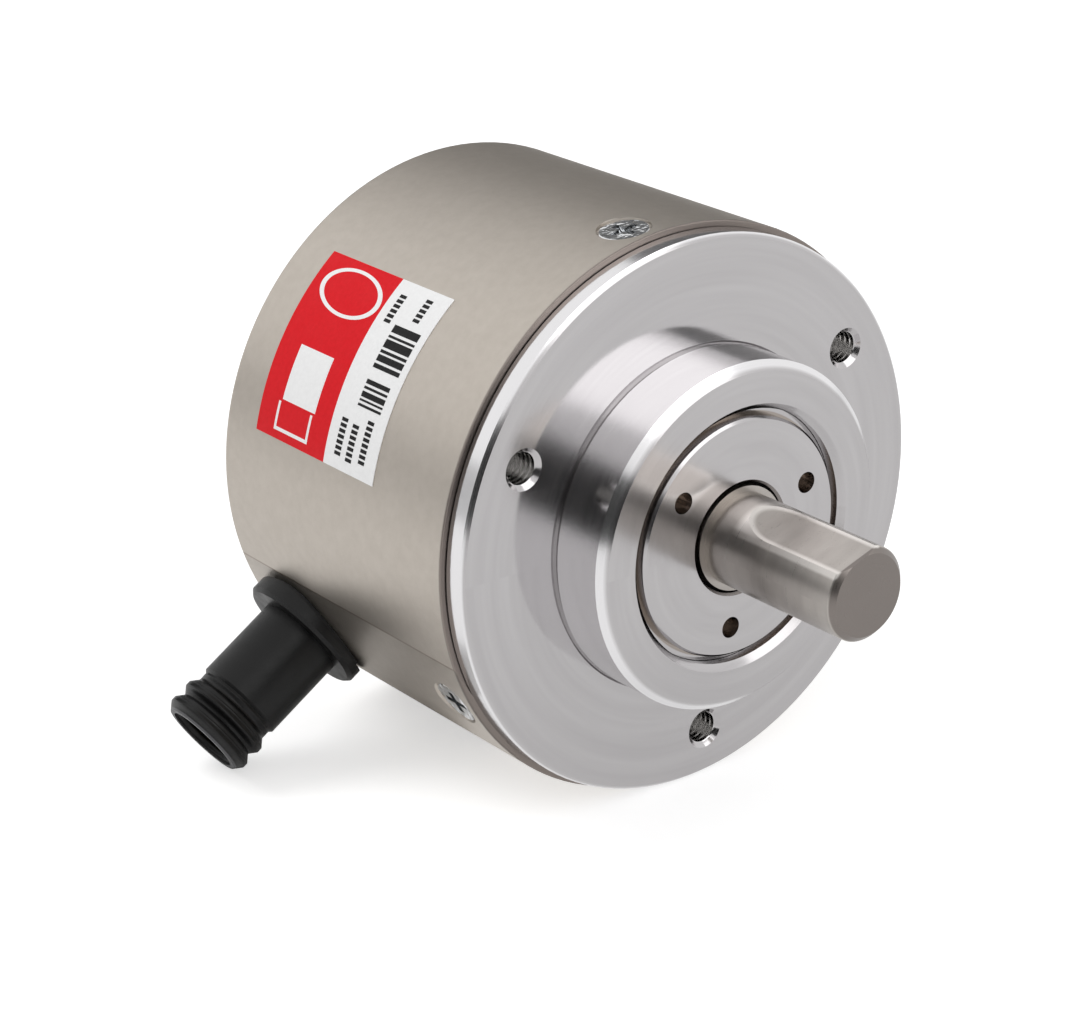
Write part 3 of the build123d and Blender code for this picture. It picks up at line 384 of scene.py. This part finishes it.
def shaft_finish():
    """Ground steel, with a painted highlight along the edges of the flat and painted shade on the end face.
    """
    made = turned_metal("shaft_ground", *SHAFT_METAL, smooth=0.27, dull=0.35, groove=0.0003 * MM, brushed=0.3)
    x, y, z = made.xyz()
    # Painted shade: the end face is darkened for the darker light it reflects.
    made.tint(made.past(x, SHAFT_END_X), SHAFT_END_SHADE)
    # Painted highlight: a bright line along the edges of the flat, where they catch the light.
    edge = made.past(made.rise(y, z, SHAFT_FLAT_ANGLE), SHAFT_FLAT_EDGE_RISE)
    edge = made.product(edge, made.past(x, SHAFT_FLAT_EDGE_X))
    edge = made.product(edge, made.past(made.radius(y, z), SHAFT_FLAT_EDGE_R))
    made.tint(edge, SHAFT_FLAT_EDGE_HIGHLIGHT)
    return made


def plain_metal(name, dark, light, smooth, dull):
    made = Finish(name, Metallic=1.0)
    grain = made.noise(scale=1500.0, detail=3.0)
    made.colour(grain, dark, light)
    made.rough(grain, smooth, dull)
    made.bump(made.noise(scale=6000.0, detail=2.0), depth=0.002 * MM)
    return made


def dimpled_metal(name, dark, light):
    """Plated steel, uneven enough to catch light and dark side by side."""
    made = Finish(name, Metallic=1.0)
    made.colour(made.noise(scale=1500.0), dark, light)
    made.rough(made.noise(scale=2500.0), smooth=0.10, dull=0.2)
    made.bump(made.noise(scale=750.0, detail=2.0), DIMPLE_DEPTH)
    return made


def moulded_plastic(name, dark, light, smooth=0.38, dull=0.5, depth=0.006 * MM, shine=0.5):
    made = Finish(name, Specular_IOR_Level=shine)
    speckle = made.noise(scale=5000.0, detail=2.0)
    made.colour(made.noise(scale=300.0), dark, light)
    made.rough(made.noise(scale=700.0), smooth, dull)
    made.bump(speckle, depth)
    return made


def plug_plastic():
    """Glass-filled plastic, with fine ridges at the open end and a painted highlight on the rim."""
    made = moulded_plastic("plug_black", *PLUG_BLACK, smooth=0.33, dull=0.43, depth=0.012 * MM, shine=0.30)
    y, z = made.xyz()[1:]
    out = made.rise(y, z, PLUG_ANGLE)
    # Painted highlight: the rim at the open end is lightened where it catches the light.
    made.tint(made.past(out, PLUG_RIM), PLUG_RIM_HIGHLIGHT)
    ridges = made.product(made.wave(out, PLUG_RIDGE_PITCH), made.past(out, PLUG_RIDGES_FROM))
    made.bump(ridges, PLUG_RIDGE_DEPTH)
    return made


def printed_sheet(name, dark, light):
    made = Finish(name, Specular_IOR_Level=0.12)
    made.colour(made.noise(scale=2500.0), dark, light)
    made.rough(made.noise(scale=600.0), smooth=0.38, dull=0.5)
    made.bump(made.noise(scale=1400.0, detail=2.0), depth=0.004 * MM)
    return made


def clear_optics():
    made = Finish("clear_optics", Transmission_Weight=1.0, IOR=1.5)
    made.colour(made.noise(scale=900.0), *CLEAR)
    made.rough(made.noise(scale=2000.0), smooth=0.02, dull=0.06)
    return made


def board_laminate():
    made = Finish("board_laminate")
    weave = made.node("ShaderNodeTexWave", {"wave_type": "BANDS", "bands_direction": "DIAGONAL"},
                      Vector=made.place, Scale=1200.0, Distortion=1.5).outputs["Fac"]
    made.colour(weave, *BOARD_GREEN, start=0.2, end=0.8)
    made.rough(made.noise(scale=900.0), smooth=0.28, dull=0.4)
    made.bump(weave, depth=0.01 * MM)
    return made


# By the record's slots: name, darker colour, lighter colour, roughness from and to
FINISHES = {
    "flange_aluminium": flange_finish(),
    "cover_metal": satin_cover(),
    "shaft_steel": shaft_finish(),
    "bearing_steel": turned_metal("bearing_ground", (0.5, 0.5, 0.5), (0.58, 0.58, 0.58), 0.12, 0.2),
    "ball_steel": plain_metal("ball_polished", (0.56, 0.56, 0.56), (0.62, 0.62, 0.62), 0.05, 0.1),
    "cage_brass": plain_metal("cage_pressed", (0.62, 0.42, 0.16), (0.72, 0.5, 0.2), 0.25, 0.35),
    "screw_steel": dimpled_metal("screw_plated", (0.72, 0.73, 0.74), (0.88, 0.89, 0.9)),
    "spring_steel": plain_metal("spring_blued", (0.24, 0.24, 0.26), (0.32, 0.32, 0.34), 0.25, 0.35),
    "seal_rubber": moulded_plastic("seal_black", (0.012, 0.012, 0.012), (0.02, 0.02, 0.02), 0.6, 0.75),
    "connector_plastic": plug_plastic(),
    "insert_plastic": moulded_plastic("insert_grey", (0.016, 0.016, 0.018), (0.026, 0.026, 0.028), 0.5, 0.6),
    "nut_brass": plain_metal("nut_nickelled", (0.5, 0.48, 0.43), (0.58, 0.56, 0.5), 0.22, 0.32),
    "contact_gold": plain_metal("contact_gold", (0.78, 0.55, 0.2), (0.86, 0.63, 0.27), 0.16, 0.24),
    "wire_jacket": moulded_plastic("wire_jacket", (0.3, 0.02, 0.02), (0.36, 0.03, 0.025), 0.45, 0.55),
    "board_laminate": board_laminate(),
    "chip_black": moulded_plastic("chip_black", (0.014, 0.014, 0.015), (0.024, 0.024, 0.026), 0.5, 0.62),
    "header_plastic": moulded_plastic("header_cream", (0.62, 0.58, 0.46), (0.7, 0.66, 0.54), 0.4, 0.5),
    "capacitor_can": plain_metal("capacitor_can", (0.6, 0.6, 0.62), (0.68, 0.68, 0.7), 0.22, 0.32),
    "ceramic_chip": moulded_plastic("ceramic_chip", (0.42, 0.33, 0.22), (0.5, 0.4, 0.28), 0.45, 0.55),
    "hub_aluminium": turned_metal("hub_turned", (0.5, 0.5, 0.51), (0.58, 0.58, 0.59), 0.2, 0.3),
    "disc_metal": turned_metal("disc_etched", (0.48, 0.48, 0.5), (0.55, 0.55, 0.57), 0.15, 0.22),
    "clear_optics": clear_optics(),
}


def dress_nodes():
    for row in frame["record"]["subparts"]:
        for slot in frame["nodes"][row["node"]].material_slots:
            slot.material = FINISHES[row["material_slot"]].material


# Sticker
class BentSheet:
    """Closed thin patches that lie round the X axis, gathered in one piece."""

    def __init__(self, inner, outer):
        self.inner, self.outer = inner, outer
        self.build = bmesh.new()

    def grid(self, place, steps_u, steps_v, loop=False):
        """place(u, v) gives x and the angle for u and v from 0 to 1; loop joins u's two ends."""
        count_u = steps_u if loop else steps_u + 1
        layers = []
        for radius in (self.inner, self.outer):
            rows = []
            for i in range(count_u):
                row = []
                for j in range(steps_v + 1):
                    x, angle = place(i / steps_u, j / steps_v)
                    turn = math.radians(angle)
                    row.append(self.build.verts.new((x, radius * math.cos(turn), radius * math.sin(turn))))
                rows.append(row)
            layers.append(rows)
        low, high = layers
        for i in range(steps_u):
            k = (i + 1) % count_u
            for j in range(steps_v):
                for layer in layers:
                    self.build.faces.new((layer[i][j], layer[k][j], layer[k][j + 1], layer[i][j + 1]))
            for j in (0, steps_v):
                self.build.faces.new((low[i][j], low[k][j], high[k][j], high[i][j]))
        if not loop:
            for i in (0, steps_u):
                for j in range(steps_v):
                    self.build.faces.new((low[i][j], low[i][j + 1], high[i][j + 1], high[i][j]))

    def patch(self, rear, front, top, low):
        """A patch between two places along X and two angles."""
        def place(u, v):
            return rear + (front - rear) * v, top + (low - top) * u
        self.grid(place, max(1, math.ceil((low - top) / PATCH_STEP)), 1)

    def ring(self, centre, across, along, hole):
        """A ring with two half axes, and a hole that is a share of them."""
        def place(u, v):
            turn = 2 * math.pi * u
            reach = hole + (1 - hole) * v
            return tuple(c + reach * (a * math.cos(turn) + b * math.sin(turn))
                         for c, a, b in zip(centre, across, along))
        self.grid(place, RING_STEPS, 1, loop=True)

    def add(self, name, look):
        """Make the piece, which rides on the housing."""
        bmesh.ops.recalc_face_normals(self.build, faces=self.build.faces)
        mesh = bpy.data.meshes.new(name)
        self.build.to_mesh(mesh)
        self.build.free()
        mesh.materials.append(look.material)
        piece = add_object(name, mesh)
        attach(piece, HOUSING)


def add_sticker():
    cover_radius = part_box("cover")[1].z
    inner = cover_radius + LABEL_CLEARANCE
    middle = inner + LABEL_THICKNESS
    outer = middle + PRINT_THICKNESS
    red = printed_sheet("label_red", *LABEL_RED)
    white = printed_sheet("label_white", *LABEL_WHITE)
    black = printed_sheet("label_ink", *LABEL_INK)

    sheet = BentSheet(inner, middle)
    sheet.patch(LABEL_REAR, LABEL_SPLIT, LABEL_TOP_ANGLE, LABEL_LOW_ANGLE)
    sheet.add("label_red_field", red)
    sheet = BentSheet(inner, middle)
    sheet.patch(LABEL_SPLIT, LABEL_FRONT, LABEL_TOP_ANGLE, LABEL_LOW_ANGLE)
    sheet.add("label_white_field", white)

    sheet = BentSheet(middle, outer)
    sheet.ring(RING_CENTRE, RING_ACROSS, RING_ALONG, RING_HOLE)
    sheet.patch(*WHITE_BLOCK)
    rear, front, top, low = FRAME_BLOCK
    line_x, line_angle = FRAME_LINE
    sheet.patch(rear, rear + line_x, top, low)
    sheet.patch(front - line_x, front, top, low)
    sheet.patch(rear + line_x, front - line_x, low - line_angle, low)
    sheet.add("label_white_print", white)

    sheet = BentSheet(middle, outer)
    for rear, front, bars in BAR_GROUPS:
        for start, width in bars:
            sheet.patch(rear, front, start, start + width)
    for x, start, end in DASH_LINES:
        for index in range(int((end - start) / DASH_STEP)):
            shift = start + index * DASH_STEP
            sheet.patch(x - DASH_WIDTH / 2, x + DASH_WIDTH / 2, shift, shift + DASH_LENGTH)
    sheet.add("label_black_print", black)


# Stage
def ray_level(tree, lit, mirrored, seen):
    """A strength for the rays that light things, for mirrored ones and for those of the camera."""
    path = tree.nodes.new("ShaderNodeLightPath")
    level = lit
    steps = (("Is Glossy Ray", mirrored), ("Is Transmission Ray", seen), ("Is Camera Ray", seen))
    for name, strength in steps:
        mix = tree.nodes.new("ShaderNodeMix")
        tree.links.new(path.outputs[name], mix.inputs["Factor"])
        feed(tree, mix.inputs["A"], level)
        mix.inputs["B"].default_value = strength
        level = mix.outputs["Result"]
    return level


def add_floor():
    """A white floor under the object; its glow is seen and mirrored, but lights nothing."""
    mesh = sheet_mesh("floor", 2, 2 * FLOOR_REACH, 2 * FLOOR_REACH)
    floor = add_object("floor", mesh)
    floor.location.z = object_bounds()[0].z
    material = bpy.data.materials.new("floor_white")
    material.use_nodes = True
    tree = material.node_tree
    tree.nodes.clear()
    out = tree.nodes.new("ShaderNodeOutputMaterial")
    matt = tree.nodes.new("ShaderNodeBsdfDiffuse")
    tree.links.new(ray_level(tree, FLOOR_WHITE, FLOOR_MIRRORED_WHITE, FLOOR_WHITE), matt.inputs["Color"])
    glow = tree.nodes.new("ShaderNodeEmission")
    tree.links.new(ray_level(tree, 0.0, FLOOR_MIRRORED_GLOW, FLOOR_GLOW), glow.inputs["Strength"])
    both = tree.nodes.new("ShaderNodeAddShader")
    tree.links.new(matt.outputs[0], both.inputs[0])
    tree.links.new(glow.outputs[0], both.inputs[1])
    tree.links.new(both.outputs[0], out.inputs["Surface"])
    mesh.materials.append(material)


def add_sky():
    """A white sky that lights less than it shows."""
    world = bpy.data.worlds.new("studio")
    bpy.context.scene.world = world
    world.use_nodes = True
    tree = world.node_tree
    tree.nodes.clear()
    out = tree.nodes.new("ShaderNodeOutputWorld")
    sky = tree.nodes.new("ShaderNodeBackground")
    tree.links.new(ray_level(tree, SKY_LEVEL, 1.0, 1.0), sky.inputs["Strength"])
    sky.inputs["Color"].default_value = (1.0, 1.0, 1.0, 1.0)
    tree.links.new(sky.outputs[0], out.inputs["Surface"])


def add_lamps():
    """Area lamps that face the object."""
    for name, facts in LAMPS.items():
        light = bpy.data.lights.new(name, "AREA")
        light.shape = "RECTANGLE"
        light.size, light.size_y = facts["size"]
        light.energy = facts["watts"]
        lamp = add_object(name, light)
        lamp.matrix_world = matrix_facing(facts["place"], CENTRE)
        lamp.visible_glossy = facts["mirrored"]


def add_cards():
    """Matt grey cards round the object, seen only in its reflections."""
    for name, facts in CARDS.items():
        grey = facts["grey"]
        matt = Finish(name, Base_Color=(grey, grey, grey, 1.0), Roughness=1.0, Specular_IOR_Level=0.0)
        mesh = sheet_mesh(name, 1, *facts["size"])
        mesh.materials.append(matt.material)
        card = add_object(name, mesh)
        card.matrix_world = matrix_facing(facts["place"], facts["aim"])
        card.visible_camera = False
        card.visible_diffuse = False
        card.visible_shadow = False


def add_camera():
    data = bpy.data.cameras.new("camera")
    data.lens = CAMERA_LENS
    data.sensor_width = CAMERA_SENSOR
    data.clip_start = CAMERA_NEAR
    camera = add_object("camera", data)
    columns = [Vector(c) for c in (CAMERA_RIGHT, CAMERA_UP, CAMERA_BACK)]
    camera.matrix_world = Matrix.Translation(CAMERA_PLACE) @ Matrix(columns).transposed().to_4x4()
    bpy.context.scene.camera = camera


dress_nodes()
add_sticker()
add_floor()
add_sky()
add_lamps()
add_cards()
add_camera()
bpy.context.scene.view_settings.view_transform = "Standard"
